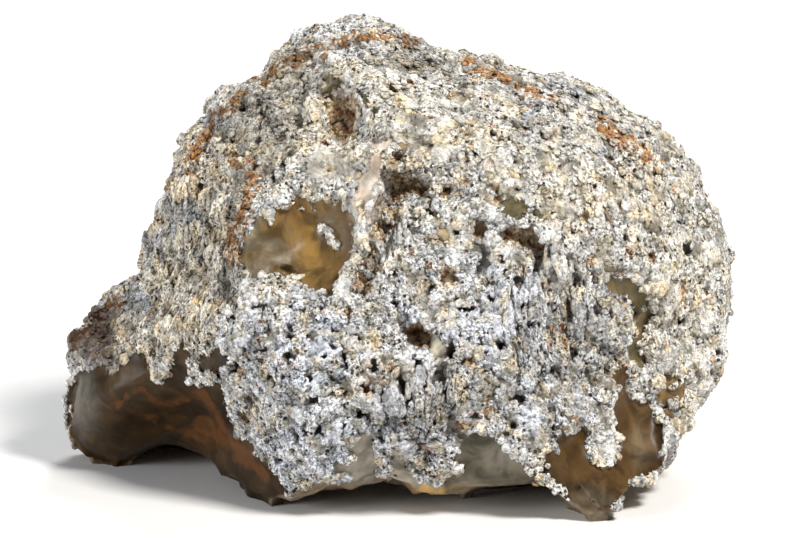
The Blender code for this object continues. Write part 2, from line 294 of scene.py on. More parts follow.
# Rind left standing on the broken faces
rindIslands = [
    [(186, 356), (193, 357), (196, 378), (190, 381)],
    [(202, 374), (213, 372), (216, 385), (206, 388)],
    [(629, 478), (642, 475), (656, 475), (646, 485), (633, 486)],
    [(545, 478), (556, 482), (566, 492), (565, 504), (552, 494)],
    [(317, 226), (325, 224), (338, 244), (334, 248)],
]

# Broken faces on the back, as outlines in the photograph's frame seen through the stone
backFaces = {
    "backLeft": {
        "colour": (0.16, 0.11, 0.065),
        "outline": [(267, 356), (171, 327), (105, 365), (86, 422), (190, 480), (276, 441)],
    },
    "backRight": {
        "colour": (0.25, 0.20, 0.13),
        "outline": [(495, 384), (562, 356), (629, 394), (638, 499), (486, 499)],
    },
    "backTop": {"colour": (0.36, 0.30, 0.20), "outline": [(419, 156), (476, 122), (514, 165), (457, 199)]},
}

underside = {
    "colour": (0.22, 0.17, 0.11),
    "height": 5.0,  # millimetres over the floor where it ends
    # Angular outline of its bands, as seen from above
    "bandOutline": [
        (-25.0, -9.0), (-9.0, -17.0), (15.0, -17.0), (27.0, -4.0), (20.0, 12.0), (-3.0, 18.0),
        (-21.0, 10.0),
    ],
    "bandSpacing": 1.7,
}

# Pits in the front: column, row, half width and half height in pixels, depth in millimetres
pits = {
    "rustyVug": (342, 120, 17, 29, 0.6),
    "rustyVugFloor": (336, 106, 6, 9, 0.9),
    "rustyVugFoot": (326, 139, 6, 6, 0.9),
    "roundHole": (397, 157, 7, 6, 1.6),
    "squareVug": (407, 188, 16, 13, 0.85),
    "smallHole": (446, 192, 7, 6, 1.4),
    "rustHole": (466, 181, 6, 8, 0.8),
    "slot": (497, 198, 5, 10, 1.2),
    "darkHole": (480, 231, 9, 7, 1.4),
    "archedVug": (523, 239, 19, 11, 0.75),
    "bellyHole": (419, 335, 12, 12, 1.3),
    "amberArch": (286, 272, 11, 6, 0.8),
    "middlePit": (449, 277, 10, 9, 0.75),
    "islandPit": (245, 418, 8, 6, 0.9),
    "furrowTop": (391, 207, 8, 8, 1.0),
    "furrowMiddle": (382, 228, 6, 13, 1.0),
    "furrowLower": (372, 250, 7, 8, 1.0),
    "furrowFoot": (362, 277, 9, 8, 1.0),
    "crestNick": (348, 314, 4, 9, 1.3),
    "rightPit": (585, 217, 5, 7, 0.7),
    "farRightPit": (651, 257, 6, 7, 0.8),
    "rimPit": (683, 293, 6, 12, 0.7),
    "rustPit": (622, 138, 9, 7, 0.7),
    "rightLowPit": (472, 362, 6, 14, 0.8),
    "leftTeardropPit": (153, 352, 3, 7, 0.7),
    "bottomPit": (419, 449, 5, 5, 0.7),
    "bellyPit": (391, 368, 6, 6, 0.8),
    "greyPit": (369, 393, 7, 6, 0.9),
    "highPit": (452, 95, 6, 5, 0.6),
    "topPit": (418, 78, 5, 4, 0.5),
}

# Small rust-lined pits and blue-grey gaps between the knobs: column, row, half width and half height
smallPits = {
    "depth": 0.65,
    "places": [
        (574, 200, 5, 5), (606, 208, 4, 6), (618, 206, 5, 6), (642, 146, 7, 6), (630, 253, 5, 6),
        (592, 262, 8, 9),
        (577, 231, 4, 4), (587, 230, 4, 5), (562, 225, 4, 4), (642, 167, 5, 4), (465, 156, 4, 5),
        (472, 146, 5, 6),
        (509, 178, 4, 4), (436, 241, 5, 5), (524, 269, 4, 8), (487, 283, 6, 5), (624, 305, 5, 4),
        (620, 272, 4, 4),
        (568, 307, 6, 9), (547, 140, 5, 4), (410, 252, 5, 7), (430, 239, 4, 5), (489, 408, 6, 6),
        (479, 392, 5, 6),
        (464, 426, 10, 6), (432, 432, 6, 5), (426, 460, 3, 9), (449, 464, 4, 4), (376, 340, 4, 4),
        (330, 170, 5, 4),
        (193, 240, 6, 4), (203, 283, 5, 5), (173, 283, 4, 7), (215, 303, 5, 5), (158, 281, 5, 4),
        (233, 157, 5, 6),
        (213, 163, 5, 6), (250, 162, 6, 5), (660, 200, 5, 4), (500, 140, 4, 4), (560, 166, 4, 4),
        (601, 178, 5, 4),
    ],
}
gaps = {
    "depth": 0.80,
    "places": [
        (290, 358, 7, 6), (308, 379, 8, 6), (343, 361, 5, 9), (373, 367, 5, 9), (290, 333, 7, 6),
        (333, 329, 5, 6),
        (279, 380, 4, 7), (265, 380, 4, 6), (249, 402, 9, 8), (311, 401, 9, 4), (305, 430, 4, 7),
        (332, 379, 7, 9),
        (265, 442, 6, 4), (362, 436, 7, 7), (242, 351, 6, 6), (437, 376, 8, 9), (412, 405, 10, 6),
        (364, 414, 8, 4),
        (257, 352, 6, 4), (419, 365, 7, 5), (451, 350, 6, 9), (401, 383, 9, 5), (233, 372, 5, 8),
        (524, 306, 6, 7),
        (489, 296, 8, 7), (474, 309, 11, 4), (527, 325, 14, 5), (550, 250, 4, 8), (536, 266, 3, 12),
        (568, 266, 3, 12),
        (595, 278, 4, 13), (502, 259, 4, 4), (518, 284, 3, 9), (603, 350, 5, 12), (556, 372, 6, 8),
        (520, 400, 8, 6),
        (494, 372, 6, 8), (575, 352, 5, 10), (500, 345, 7, 6), (640, 240, 5, 4), (660, 330, 6, 6),
        (690, 250, 5, 7),
    ],
}

porousLines = [
    [(394, 200), (384, 228), (373, 252), (358, 285)],
    [(390, 176), (410, 184), (424, 192)],
    [(503, 228), (523, 226), (541, 240)],
    [(330, 100), (345, 118), (330, 140)],
]

flutes = {
    "places": [(545, 310, 80, 100), (190, 260, 70, 130), (390, 230, 40, 60), (430, 400, 60, 50)],
    "squeeze": (1.25, 1.0, 0.38),  # long upright shapes instead of round ones
}

smoothPlaces = [
    (332, 166, 38, 22), (353, 226, 9, 34), (372, 186, 11, 44), (561, 206, 17, 13), (440, 152, 22, 10),
    (402, 143, 18, 9), (346, 292, 8, 22), (424, 300, 9, 16), (602, 262, 12, 22), (452, 232, 8, 14),
]
domePlaces = [
    (285, 335, 80, 60), (330, 410, 100, 60), (640, 320, 50, 50), (560, 410, 60, 40), (660, 430, 30, 60),
]

# Sunken lines between the rind's folds, darkened with painted shade, and raised ones, lightened with painted
# highlight
creases = [
    [(314, 45), (304, 58), (299, 72), (299, 84), (302, 94)],
    [(265, 87), (259, 103), (257, 120), (256, 142), (254, 165)],
    [(287, 166), (276, 187), (262, 206), (247, 225), (238, 244), (240, 276), (224, 310)],
    [(252, 308), (259, 302), (265, 306), (273, 308), (279, 300), (290, 301), (299, 305), (300, 310)],
    [(275, 318), (276, 310)],
    [(504, 240), (510, 236), (521, 230), (535, 236), (541, 246), (542, 256)],
    [(539, 289), (553, 289), (566, 299), (571, 313), (569, 329), (555, 340)],
    [(560, 233), (569, 259), (581, 278), (587, 301), (586, 320), (587, 341), (592, 362)],
    [(539, 258), (546, 281), (549, 300)],
    [(503, 258), (510, 278), (511, 300)],
    [(517, 324), (518, 341), (521, 362), (520, 379)],
    [(538, 355), (542, 372), (539, 390)],
    [(306, 329), (319, 341), (331, 348)],
    [(338, 337), (343, 357), (340, 380)],
    [(424, 262), (430, 285), (427, 300)],
    [(456, 300), (462, 330), (458, 352)],
    [(480, 330), (486, 352), (483, 380)],
    [(381, 392), (388, 410), (385, 428)],
    [(404, 376), (409, 398), (405, 420)],
    [(448, 384), (452, 404), (446, 424)],
    [(205, 150), (196, 185), (190, 220)],
    [(226, 215), (219, 250), (221, 285)],
    [(172, 262), (170, 300), (176, 330)],
    [(196, 300), (200, 330), (206, 348)],
    [(612, 160), (627, 178), (634, 200)],
    [(496, 118), (520, 122), (541, 133)],
    [(536, 252), (540, 268), (541, 284)],
    [(550, 246), (556, 266), (560, 286)],
    [(566, 250), (571, 268), (577, 290)],
    [(593, 262), (597, 282), (594, 300), (600, 318)],
    [(520, 268), (522, 284), (521, 300)],
]
ridgeLines = [
    [(376, 196), (364, 232), (351, 262), (343, 290), (341, 312)],
    [(374, 190), (362, 228), (350, 258), (342, 288)],
    [(394, 166), (393, 190)],
    [(402, 281), (410, 306), (418, 318)],
    [(595, 247), (601, 278), (598, 295), (604, 302)],
    [(614, 341), (622, 355), (626, 367)],
    [(455, 264), (461, 258), (471, 257), (476, 264)],
    [(303, 150), (322, 160), (345, 165), (362, 160)],
    [(525, 222), (540, 226), (550, 238), (556, 262)],
]
lineWidths = {
    "crease": 3.2,  # pixels
    "ridge": 5.5,
    "sunk": 0.62,  # millimetres
    "raised": 0.40,
    "ridgeGain": 1.5,  # how many times that height the ridges have
    "sway": 12.0,  # pixels that the lines stray for each millimetre of warping
}

# Wide hollows: line, half width in pixels, depth in millimetres
troughs = [
    ([(394, 172), (390, 205), (381, 232), (369, 255), (356, 286)], 11, 1.2),
    ([(345, 96), (340, 120), (328, 142)], 18, 0.35),
    ([(484, 228), (482, 250), (486, 285)], 9, 0.5),
    ([(506, 232), (524, 238), (540, 250)], 12, 0.6),
    ([(596, 262), (606, 286), (634, 300), (640, 345)], 10, 0.5),
    ([(408, 325), (425, 340), (444, 348)], 13, 0.7),
    ([(272, 285), (262, 300), (255, 318)], 8, 0.35),
    ([(560, 330), (570, 300), (560, 286)], 8, 0.4),
    ([(517, 330), (519, 375)], 8, 0.45),
    ([(340, 330), (342, 385)], 9, 0.4),
    ([(404, 372), (408, 425)], 9, 0.5),
    ([(448, 380), (450, 430)], 9, 0.5),
    ([(584, 345), (592, 400)], 9, 0.5),
    ([(205, 150), (194, 190), (188, 225)], 9, 0.45),
    ([(230, 205), (220, 250), (221, 290)], 9, 0.45),
    ([(302, 55), (299, 95), (280, 150), (258, 200), (236, 250), (228, 300)], 12, 0.9),
]

rindColours = {
    "plain": (0.80, 0.78, 0.73),
    "behind": (0.64, 0.58, 0.46),
    "thin": (0.27, 0.24, 0.175),
    "poreBrown": (0.22, 0.12, 0.055),
    "gap": (0.17, 0.175, 0.185),
}

# Stains and tints of the rind, and a painted shade down its left top: colour, and ovals given as column,
# row, half width and half height
rindTints = {
    "cream": {
        "colour": (0.84, 0.79, 0.68),
        "share": 0.75,
        "speckle": 0.55,
        "places": [
            (430, 120, 130, 90), (600, 170, 130, 90), (330, 130, 60, 80), (680, 290, 60, 110),
            (330, 240, 40, 70),
        ],
    },
    "blueWhite": {
        "colour": (0.74, 0.76, 0.80),
        "share": 0.8,
        "speckle": 0.75,
        "places": [
            (300, 350, 110, 80), (330, 450, 100, 60), (470, 320, 120, 80), (540, 400, 90, 60),
            (420, 420, 90, 60),
        ],
    },
    "leftCream": {
        "colour": (0.82, 0.74, 0.59),
        "share": 0.85,
        "speckle": 1.0,
        "places": [(190, 230, 75, 150), (240, 130, 80, 70), (150, 320, 70, 60), (285, 110, 40, 70)],
    },
    "lowDark": {
        "colour": (0.52, 0.51, 0.49),
        "share": 0.75,
        "speckle": 1.0,
        "places": [
            (560, 340, 60, 80), (610, 300, 34, 60), (415, 400, 70, 45), (480, 385, 60, 40),
            (590, 350, 40, 50),
        ],
    },
    "slate": {
        "colour": (0.40, 0.42, 0.46),
        "share": 0.8,
        "speckle": 0.9,
        "places": [
            (183, 217, 32, 30), (157, 245, 16, 22), (135, 302, 24, 20), (215, 120, 22, 22),
            (603, 146, 18, 10),
            (530, 122, 12, 16), (443, 152, 10, 17), (575, 95, 20, 9), (250, 345, 14, 18),
        ],
    },
    "furrow": {
        "colour": (0.30, 0.21, 0.13),
        "share": 0.85,
        "speckle": 0.9,
        "places": [
            (390, 208, 9, 15), (382, 232, 9, 17), (371, 257, 9, 16), (361, 281, 10, 13),
            (403, 184, 14, 9),
        ],
    },
    "leftTopGreyAndShade": {
        # Its own darker grey down the left top, deepened as painted shade where it turns from the light
        "colour": (0.44, 0.41, 0.345),
        "share": 0.85,
        "speckle": 1.0,
        "places": [
            (262, 125, 46, 62), (290, 75, 24, 50), (238, 200, 16, 66), (405, 60, 60, 22),
            (225, 290, 14, 40),
        ],
    },
    "haze": {
        "colour": (0.40, 0.36, 0.28),
        "share": 0.85,
        "speckle": 0.25,
        "places": [
            (330, 80, 24, 15), (412, 140, 18, 9), (602, 262, 12, 22), (424, 300, 9, 16), (452, 232, 9, 15),
            (332, 168, 42, 18), (353, 226, 9, 34), (372, 186, 11, 44), (561, 206, 16, 10), (300, 66, 12, 26),
        ],
    },
    "lobeBrown": {
        "colour": (0.085, 0.050, 0.032),
        "share": 0.97,
        "speckle": 0.2,
        "places": [(90, 328, 52, 54)],
    },
}

rustLines = {
    "stain": (0.60, 0.33, 0.15),  # multiplies the rind's colour
    "lines": [
        [(262, 82), (285, 68), (300, 52), (330, 42), (372, 38), (400, 40), (416, 44)],
        [(468, 66), (482, 72), (500, 76), (517, 86), (535, 92), (552, 96)],
        [(600, 122), (622, 138), (648, 158)],
        [(190, 170), (200, 140), (225, 110), (245, 96)],
        [(228, 150), (236, 165), (252, 172)],
        [(250, 185), (240, 215), (226, 250)],
        [(72, 342), (84, 330), (103, 309), (120, 300)],
    ],
    "halfWidth": 8.0,
}

rustSpots = {
    "ochre": (0.82, 0.66, 0.43),
    "colour": (0.34, 0.12, 0.035),
    "places": [
        (597, 190, 9, 9), (570, 232, 8, 8), (622, 250, 9, 10), (592, 262, 10, 14), (435, 238, 8, 10),
        (427, 262, 6, 7), (556, 332, 12, 12), (553, 377, 10, 9), (604, 379, 9, 9), (330, 178, 8, 8),
        (362, 126, 9, 12), (246, 168, 20, 14), (468, 344, 9, 13), (399, 184, 16, 14), (418, 176, 12, 12),
        (342, 120, 20, 32), (326, 139, 9, 9), (446, 192, 11, 9), (466, 181, 10, 13), (497, 198, 8, 14),
        (480, 231, 13, 10), (419, 335, 14, 14), (349, 314, 6, 12), (286, 272, 12, 8), (245, 418, 11, 9),
        (622, 138, 16, 12), (683, 293, 11, 16), (362, 277, 12, 12), (405, 84, 26, 9), (449, 277, 10, 9),
        (435, 437, 22, 14), (452, 95, 10, 8), (472, 362, 8, 16), (452, 60, 14, 8), (665, 410, 10, 8),
    ],
}

# Reddish lines of the agate's bands in the broken face at the left
bandLines = [
    [
        (88, 398), (104, 407), (118, 409), (129, 395), (143, 393), (155, 402), (168, 408), (182, 403),
        (194, 392),
    ],
    [(194, 392), (203, 398), (213, 417), (222, 430), (233, 440), (246, 456), (256, 470), (262, 480)],
    [(193, 427), (197, 422), (203, 422), (211, 430), (224, 444), (208, 436), (193, 428)],
    [(141, 414), (155, 422), (168, 431), (182, 436), (196, 441), (213, 448), (238, 462), (262, 478)],
    [(222, 430), (232, 446), (244, 462), (254, 474), (262, 481)],
]


def remeshed(source):
    # A fine, even and softened copy of the plain solid, in millimetres
    mesh = source.data.copy()
    welded = bmesh.new()
    welded.from_mesh(mesh)
    bmesh.ops.remove_doubles(welded, verts=welded.verts, dist=0.000002)
    bmesh.ops.scale(welded, vec=(1000.0, 1000.0, 1000.0), verts=welded.verts)
    welded.to_mesh(mesh)
    welded.free()
    mesh.materials.clear()
    piece = bpy.data.objects.new("roughNodule", mesh)
    bpy.context.scene.collection.objects.link(piece)
    remesh = piece.modifiers.new("evenFaces", "REMESH")
    remesh.mode = "VOXEL"
    remesh.voxel_size = nodule["voxel"]
    soften = piece.modifiers.new("soften", "SMOOTH")
    soften.iterations = nodule["smoothing"]
    soften.factor = 0.5
    return applyModifiers(piece)


def applyModifiers(piece):
    bpy.context.view_layer.update()
    graph = bpy.context.evaluated_depsgraph_get()
    evaluated = piece.evaluated_get(graph)
    made = bpy.data.meshes.new_from_object(evaluated, preserve_all_data_layers=True, depsgraph=graph)
    piece.modifiers.clear()
    piece.data = made
    return piece


def readVectors(mesh, field):
    values = np.empty(len(mesh.vertices) * 3, np.float32)
    mesh.vertices.foreach_get(field, values)
    return values.reshape(-1, 3).astype(float)


breaks = {
    "seenFrom": -0.1,  # the front's broken faces end where the stone turns away this far
    "ragged": 0.45,  # millimetres that an edge strays from its outline
    "raggedBehind": 0.9,
    "raggedIslands": 0.3,
    "edge": 0.12,
}


def exposedAt(points, normals, spots, front, ragged):
    # How far each point lies inside a broken face, in millimetres, negative on the rind, and in which one
    exposed = np.full(len(points), -9.0)
    nearest = np.full(len(points), -1)
    shown = front > breaks["seenFrom"]
    for number, face in enumerate(brokenFaces.values()):
        inside = depthInside(spots, face["outline"]) * photo["pixel"]
        inside = np.where(shown, inside + face.get("ragged", breaks["ragged"]) * ragged, -9.0)
        nearest = np.where(inside > exposed, number, nearest)
        exposed = np.maximum(exposed, inside)
    for island in rindIslands:
        inside = depthInside(spots, island) * photo["pixel"]
        left = np.minimum(exposed, breaks["raggedIslands"] * ragged - inside * 2.0)
        exposed = np.where(shown, left, exposed)
    for number, face in enumerate(backFaces.values(), len(brokenFaces)):
        inside = depthInside(spots, face["outline"]) * photo["pixel"]
        inside = np.where(shown, -9.0, inside + breaks["raggedBehind"] * ragged)
        nearest = np.where(inside > exposed, number, nearest)
        exposed = np.maximum(exposed, inside)

    # The underside is broken all over
    low = smoothStep(-0.35, -0.75, normals[:, 2]) * smoothStep(underside["height"], 2.0, points[:, 2])
    under = low * 3.0 - 1.2 + 0.5 * ragged
    nearest = np.where(under > exposed, -1, nearest)
    return np.maximum(exposed, under), nearest


def evened(mesh, values, rounds):
    # The values averaged over their surroundings
    edges = np.empty(len(mesh.edges) * 2, np.int32)
    mesh.edges.foreach_get("vertices", edges)
    start, end = edges.reshape(-1, 2).T
    count = np.bincount(start, minlength=len(values)) + np.bincount(end, minlength=len(values))
    for i in range(rounds):
        total = np.bincount(start, values[end], len(values)) + np.bincount(end, values[start], len(values))
        values = 0.4 * values + 0.6 * total / count
    return values


def rindLumps(bent, spots, front, ragged, fluted):
    # The rind's relief, from its widest swells to its crumbs, and beside it the pores and the spongy places
    swells = softNoise(bent, rind["swells"][0], 2, 4)
    clumps = hardNoise(bent, rind["clumps"][0], 3, 5)
    upright = hardNoise(bent * flutes["squeeze"], rind["clumps"][0], 3, 6)
    clumps = blend(clumps, upright, fluted) - 0.4
    clumps *= 1.0 + 0.5 * fluted
    away, owner = scattered(bent, rind["knobs"][0], 7)
    knobs = 0.5 - 1.6 * away**2
    domed = np.where(front > 0.0, patches(spots, domePlaces), 0.6)
    domes = 0.5 - 1.7 * scattered(bent, rind["domes"][0], 13)[0] ** 2
    crumbs = softNoise(bent, rind["crumbs"][0], 2, 8)
    height = (
        rind["swells"][1] * swells
        + rind["domes"][1] * domes * domed
        + rind["clumps"][1] * clumps
        + rind["knobs"][1] * knobs
        + rind["crumbs"][1] * crumbs
    )
    height = np.where(height > 0.0, rind["highest"] * np.tanh(height / rind["highest"]), height)

    away, pitOwner = scattered(bent, rind["pits"][0], 9)
    away = away + 0.05 * ragged
    pores = (1.0 - smoothStep(0.5, 1.0, away / (0.06 + 0.34 * pitOwner))) * (pitOwner > 0.30)
    porous = np.zeros(len(spots))
    for line in porousLines:
        porous = np.maximum(porous, 1.0 - smoothStep(3.0, 12.0, distanceToLine(spots, line)))
    sponge = smoothStep(0.0, 0.5, softNoise(bent, 0.9, 2, 10)) * porous * (front > 0.0)
    return height, owner, crumbs, pores, sponge


def foldLines(points, spots, front):
    # Narrow dips, raised ridges and wide hollows along the drawn lines
    dips = alongLines(spots, creases, lineWidths["crease"])
    dips *= smoothStep(-0.6, 0.3, softNoise(points, 1.6, 2, 15)) * (front > 0.0)
    rises = alongLines(spots, ridgeLines, lineWidths["ridge"]) * (front > 0.0)
    broadDips = np.zeros(len(points))
    for line, halfWidth, depth in troughs:
        broadDips = np.maximum(broadDips, depth * alongLines(spots, [line], halfWidth))
    return dips, rises, broadDips * smoothStep(0.0, 0.2, front)


# Where a pit starts to rise and where it ends, as shares of its reach, and how ragged and crumbly it is
pitEdges = {
    "pits": (0.5, 1.15, 0.35, 0.25),
    "smallPits": (0.4, 1.1, 0.3, 0.0),
    "gaps": (0.45, 1.2, 0.45, 0.3),
    "depth": 0.7,  # share of the pits' given depth
    "seenFrom": 0.05,
}


def carvedPits(spots, front, ragged, crumbs):
    # How deep the pits are, how much their rims stand up, and the gaps between the knobs
    def sunk(kind, place):
        inner, outer, raggedness, crumbliness = pitEdges[kind]
        away = awayFrom(spots, *place) + raggedness * ragged + crumbliness * crumbs
        return 1.0 - smoothStep(inner, outer, away), away

    hollow, rims, gapped = np.zeros((3, len(spots)))
    for *place, depth in pits.values():
        share, away = sunk("pits", place)
        hollow = np.maximum(hollow, depth * share)
        rims = np.maximum(rims, smoothStep(0.95, 1.15, away) * smoothStep(1.7, 1.3, away))
    for place in smallPits["places"]:
        hollow = np.maximum(hollow, smallPits["depth"] * sunk("smallPits", place)[0])
    for place in gaps["places"]:
        gapped = np.maximum(gapped, sunk("gaps", place)[0])
    seen = front > pitEdges["seenFrom"]
    hollow *= pitEdges["depth"] * seen
    return hollow, rims * (seen * (hollow < 0.1)), gapped * seen


def bandMarks(points, bent, spots, front, nearest):
    # Millimetres to the nearest band line of the left broken face, and how far inside the underside's bands
    veins = np.full(len(points), 60.0)
    for line in bandLines:
        veins = np.minimum(veins, distanceToLine(spots, line))
    veins = np.where((front > -0.2) & (nearest == 0), veins, 60.0) * photo["pixel"]
    rings = depthInside(points[:, :2] + 1.2 * (bent - points)[:, :2], underside["bandOutline"])
    return veins, np.where(nearest == -1, np.clip(rings, 0.0, 40.0), 0.0)


def markKept(piece, front, broken):
    # Which faces go first when the mesh is thinned
    keep = blend(1.0, nodule["frontKeep"], smoothStep(-0.25, 0.15, front))
    keep = blend(keep, nodule["brokenKeep"], broken)
    group = piece.vertex_groups.new(name="fewerFaces")
    levels = np.round(keep * 10).astype(int)
    for level in np.unique(levels):
        group.add(np.flatnonzero(levels == level).tolist(), float(level) / 10.0, "REPLACE")


def sculpt(piece):
    mesh = piece.data
    points, normals = readVectors(mesh, "co"), readVectors(mesh, "normal")
    print("remeshed", len(points), "points")
    spots = intoPhoto(points)
    outwards = (points - nodule["centre"]) / np.square(nodule["reach"])
    outwards /= np.linalg.norm(outwards, axis=1)[:, None]
    front = 0.45 * facing(normals) + 0.55 * facing(outwards)
    bent = warped(warped(points, 1.7, 0.5, 1), 0.55, 0.14, 2)
    swayed = spots + lineWidths["sway"] * (bent - points)[:, [0, 2]]
    ragged = softNoise(bent, 1.5, 3, 3)
    fluted = patches(spots, flutes["places"]) * smoothStep(-0.2, 0.2, front)
    smooth = patches(swayed, smoothPlaces) * (front > 0.0)
    soft = patches(spots, grains["softPlaces"])
    exposed, nearest = exposedAt(points, normals, spots, front, ragged)
    broken = smoothStep(-breaks["edge"], breaks["edge"], exposed)
    onRind = 1.0 - broken

    lumps, owner, crumbs, pores, sponge = rindLumps(bent, spots, front, ragged, fluted)
    dips, rises, broadDips = foldLines(points, swayed, front)
    hollow, rims, gapped = carvedPits(spots, front, ragged, crumbs)
    height = rind["thickness"] + lumps * (1.0 - 0.6 * smooth) * (1.0 - 0.25 * soft)
    height -= rind["pits"][1] * pores * (1.0 - smooth) + 1.0 * sponge
    raised = lineWidths["raised"] * rises * lineWidths["ridgeGain"]
    height += raised - lineWidths["sunk"] * dips - broadDips
    # Low shell-like ripples on the broken faces
    ripples = 0.18 * softNoise(points * (1.0, 1.0, 0.6), 6.0, 2, 11) + 0.02 * softNoise(points, 1.2, 2, 12)
    height = height * onRind + ripples * broken - rind["inset"]
    height += rind["rims"] * rims * onRind - gaps["depth"] * gapped * onRind

    # The pits go straight in, away from the eye, and the worn patch that it rests on stays as it is
    tilt = math.radians(photo["tilt"])
    inwards = np.array([0.0, math.cos(tilt), -math.sin(tilt)])
    rests = smoothStep(-0.8, -0.95, normals[:, 2]) * smoothStep(0.7, 0.1, points[:, 2])
    height *= 1.0 - rests
    moved = points + normals * height[:, None] + inwards * hollow[:, None]
    moved[:, 2] = np.where(rests > 0.5, 0.0, np.maximum(moved[:, 2], 0.0))

    # What the material reads: how much painted shade a spot gets from lying under its surroundings, and a
    # tone that is partly random and partly painted highlight and shade
    relief = height - evened(mesh, height, 10)
    broad = evened(mesh, height, 4)
    broad = broad - evened(mesh, broad, 60)
    # Painted shade: deepest in crevices, pores, creases, gaps and broad lows, taken off rims, ridges and
    # smooth places
    cavityShade = smoothStep(0.04, -0.22, relief) * onRind + 0.08 * smoothStep(0.1, 0.8, hollow) + 0.4 * sponge
    cavityShade += 0.45 * dips + 0.12 * broadDips - 0.35 * rims - 0.35 * rises
    cavityShade += 0.45 * smoothStep(-0.08, -0.35, broad) * onRind - 0.3 * smooth + 0.2 * gapped
    # Tone: random from knob to knob, with painted highlight on raised tops, rims and ridges and painted
    # shade in broad lows
    toneAndPaintedLight = 0.30 * owner + 0.35 * smoothStep(-0.10, 0.22, relief) + 0.2 * rims + 0.2 * rises
    toneAndPaintedLight += 0.35 * smoothStep(-0.25, 0.25, broad)
    toneAndPaintedLight += 0.40 * softNoise(points, 2.2, 2, 14)
    thin = smoothStep(0.12, 0.40, softNoise(points, 1.9, 3, 22)) * smoothStep(0.85, 0.45, toneAndPaintedLight)
    thin *= 1.0 - smooth
    pitted = np.clip(smoothStep(0.05, 0.45, hollow) + 0.9 * sponge, 0.0, 1.0) * onRind
    crust = rindTint(points, spots, front, cavityShade, thin, pores, pitted)
    crust[:, 3] *= 1.0 - 0.7 * smooth
    gapShare = (0.75 * smoothStep(0.1, 0.7, gapped))[:, None]
    crust[:, :3] = blend(crust[:, :3], np.array(rindColours["gap"]), gapShare)
    glass = glassTint(points, spots, front, nearest)
    glass[:, 3] = pitted
    toneAndPaintedLight = np.clip(toneAndPaintedLight, 0.0, 1.0)
    cavityShade *= 1.0 - 0.7 * pitted
    veins, rings = bandMarks(points, bent, swayed, front, nearest)
    writeColours(mesh, "marks", np.column_stack([exposed, np.clip(cavityShade, 0.0, 1.3), toneAndPaintedLight, veins]))
    writeColours(mesh, "glassTint", glass)
    writeColours(mesh, "crustTint", crust)
    writeColours(mesh, "rings", np.column_stack([rings] * 3 + [np.ones(len(points))]))
    mesh.vertices.foreach_set("co", moved.astype(np.float32).ravel())
    mesh.update()
    markKept(piece, front, broken)
    print("sculpted")

    # Where grains may grow
    bare = (exposed < grains["edge"]) & (rests < 0.1) & (pores < 0.25) & (dips < 0.3)
    bare &= (broad > grains["lowest"]) & (smooth < 0.45) & (thin < 0.45) & (gapped < 0.4)
    return {
        "points": moved, "normals": normals, "front": front, "crust": crust, "toneAndPaintedLight": toneAndPaintedLight, "allowed": bare,
        "along": fluted, "soft": soft * (front > 0.0), "pitted": pitted,
    }


# Tints inside the chalcedony of the front: colour, share, and column, row, half width and half height
glassPatches = [
    ((0.175, 0.100, 0.026), 0.9, (308, 238, 22, 36)),
    ((0.150, 0.088, 0.030), 0.8, (296, 214, 34, 14)),
    ((0.150, 0.112, 0.075), 0.8, (345, 236, 13, 36)),
    ((0.135, 0.108, 0.072), 0.8, (262, 264, 22, 13)),
    ((0.30, 0.26, 0.19), 0.7, (272, 245, 20, 8)),
    ((0.29, 0.25, 0.19), 0.6, (284, 262, 8, 12)),
    ((0.27, 0.23, 0.16), 0.6, (253, 238, 9, 22)),
    ((0.34, 0.30, 0.24), 0.5, (352, 215, 8, 22)),
    ((0.085, 0.075, 0.055), 0.7, (84, 405, 16, 45)),
    ((0.060, 0.034, 0.014), 0.6, (235, 458, 30, 26)),
    ((0.14, 0.115, 0.075), 0.6, (592, 500, 34, 16)),
    ((0.15, 0.115, 0.070), 0.6, (640, 445, 12, 34)),
    ((0.17, 0.155, 0.125), 0.6, (500, 462, 24, 20)),
    ((0.33, 0.21, 0.075), 0.8, (430, 494, 34, 9)),
    ((0.24, 0.18, 0.09), 0.9, (404, 142, 15, 9)),
]


def glassTint(points, spots, front, nearest):
    # The chalcedony's own colour from face to face
    faces = list(brokenFaces.values()) + list(backFaces.values())
    colours = np.array([face["colour"] for face in faces] + [underside["colour"]])
    edges = np.array([face.get("edge", face["colour"]) for face in faces] + [underside["colour"]])
    drift = softNoise(points, 5.0, 3, 20)
    glass = blend(colours[nearest], edges[nearest], smoothStep(-0.1, 0.5, drift)[:, None])
    moved = spots + 6.0 * np.column_stack([drift, softNoise(points, 4.0, 2, 28)])
    for colour, share, place in glassPatches:
        seen = share * patches(moved, [place]) * (front > 0.0)
        glass = blend(glass, np.array(colour), seen[:, None])
    return np.column_stack([np.clip(glass, 0.0, 1.0), np.ones(len(points))])


